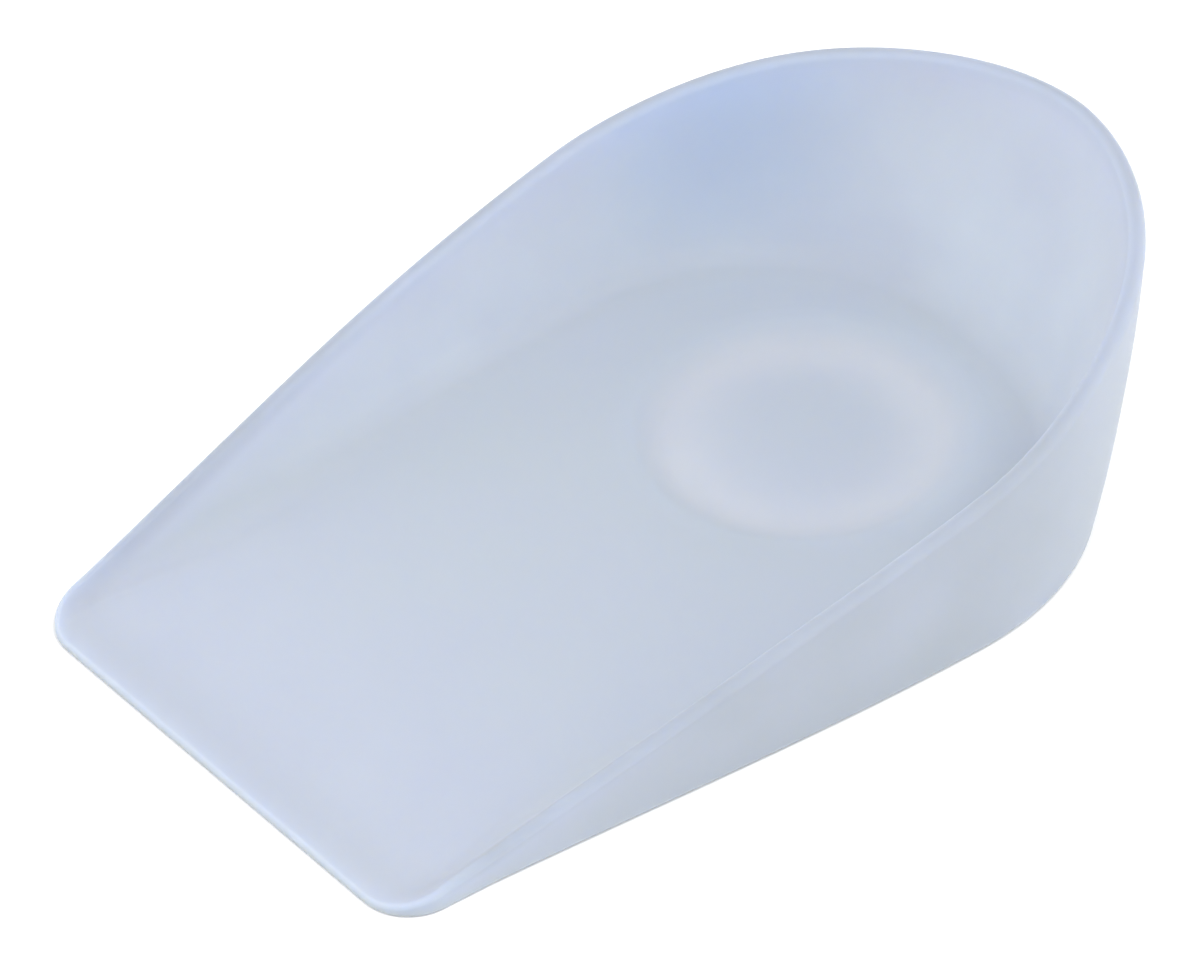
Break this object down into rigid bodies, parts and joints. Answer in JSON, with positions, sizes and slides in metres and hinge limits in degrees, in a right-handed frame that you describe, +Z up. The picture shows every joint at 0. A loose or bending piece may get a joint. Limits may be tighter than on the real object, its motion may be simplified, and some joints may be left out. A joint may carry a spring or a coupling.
{
  "type": "heel cushion",
  "caption": "Moulded silicone heel cup with a thin front edge, a wall that rises round the heel and a ring-grooved soft spot, laid in a shoe to cushion the heel.",
  "frame": {"origin": "on the underside, below the middle of the cushion's length and width", "axes": "+Y from the thin front edge towards the back of the heel, +X across the heel, +Z up out of the open cup"},
  "size_m": [0.0664, 0.105, 0.0265],
  "materials": {
    "silicone": "satin translucent silicone, pale lavender blue"
  },
  "bodies": {
    "root": {"heel_cushion": "silicone"}
  },
  "joints": []
}
